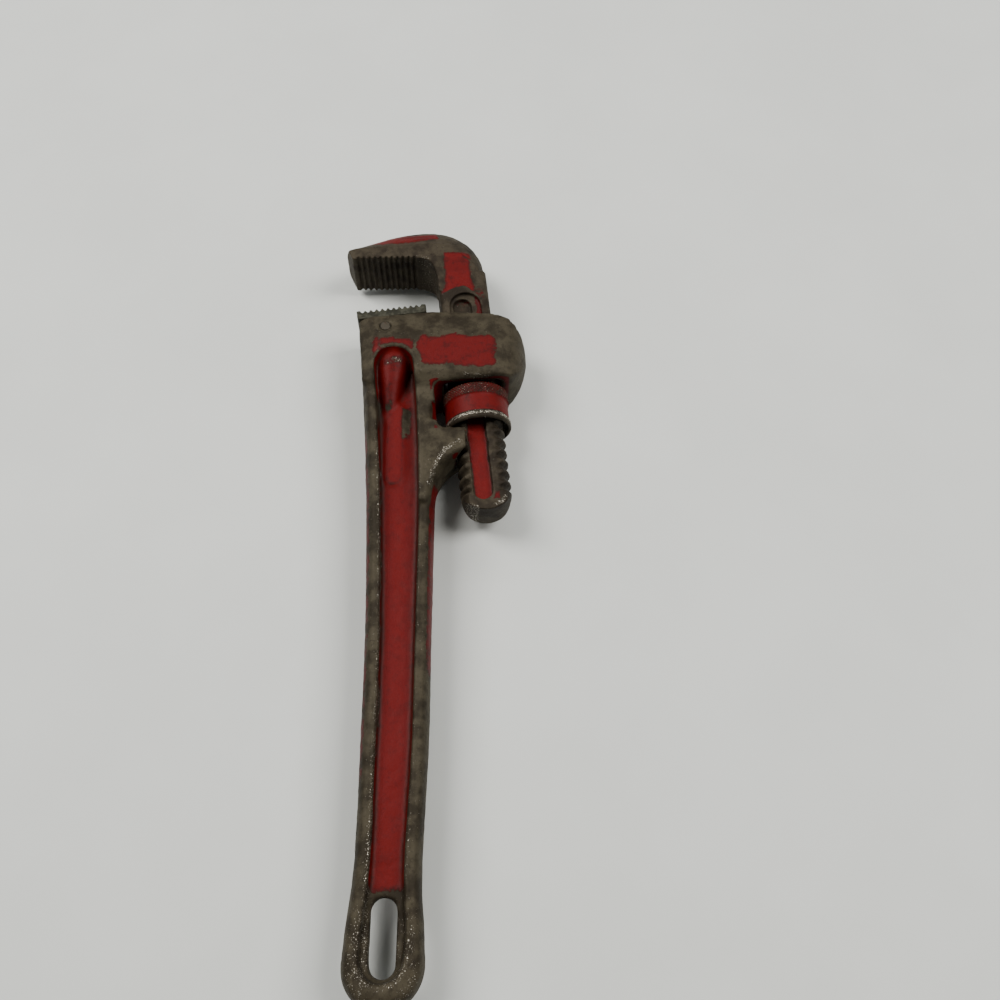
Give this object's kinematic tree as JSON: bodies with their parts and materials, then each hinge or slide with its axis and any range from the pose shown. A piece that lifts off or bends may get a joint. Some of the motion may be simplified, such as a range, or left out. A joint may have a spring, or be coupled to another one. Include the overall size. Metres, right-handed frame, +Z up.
{
  "type": "pipe wrench",
  "caption": "Pipe wrench lying on its side: cast I-section handle with a jaw housing, toothed heel jaw, sliding threaded hook jaw and a knurled adjusting nut.",
  "frame": {"origin": "on the surface that the wrench lies on, under the middle of its bounding box", "axes": "+Y along the handle to the jaws, +X to the rounded back of the housing, +Z up through the thickness"},
  "size_m": [0.0849, 0.3369, 0.034],
  "materials": {
    "painted_casting": "worn red paint over bare cast iron",
    "jaw_steel": "dark hardened steel, scuffed",
    "pin_steel": "plain dull steel",
    "forged_steel": "dark forged steel with remains of red paint",
    "painted_nut": "worn red paint, knurled bands bare",
    "spring_steel": "blued spring steel"
  },
  "bodies": {
    "handle": {"handle": "painted_casting", "heel_jaw": "jaw_steel", "heel_jaw_pin": "pin_steel"},
    "rocker": {"flat_spring": "spring_steel", "coil_spring": "spring_steel", "spring_rivet": "pin_steel"},
    "hook_jaw": {"hook_jaw": "forged_steel"},
    "nut": {"adjusting_nut": "painted_nut"}
  },
  "joints": [
    {"name": "jaw_rock", "type": "hinge", "parent": "handle", "child": "rocker", "pos_m": [0.01986, 0.07046, 0.017], "axis": [0, 0, 1], "range_deg": [0, 2.2], "stiffness_Nm_per_rad": 3.4, "springref_deg": -6.88},
    {"name": "nut_spin", "type": "hinge", "parent": "rocker", "child": "nut", "pos_m": [0.01986, 0.07046, 0.017], "axis": [-0.1045, 0.9945, 0], "range_deg": [-2516, 1666]},
    {"name": "jaw_slide", "type": "slide", "parent": "rocker", "child": "hook_jaw", "axis": [-0.1045, 0.9945, 0], "range_m": [-0.0235, 0.0355]}
  ],
  "couplings": [
    {"joint": "nut_spin", "follows": "jaw_slide", "rad_per_m": -1236.8}
  ]
}
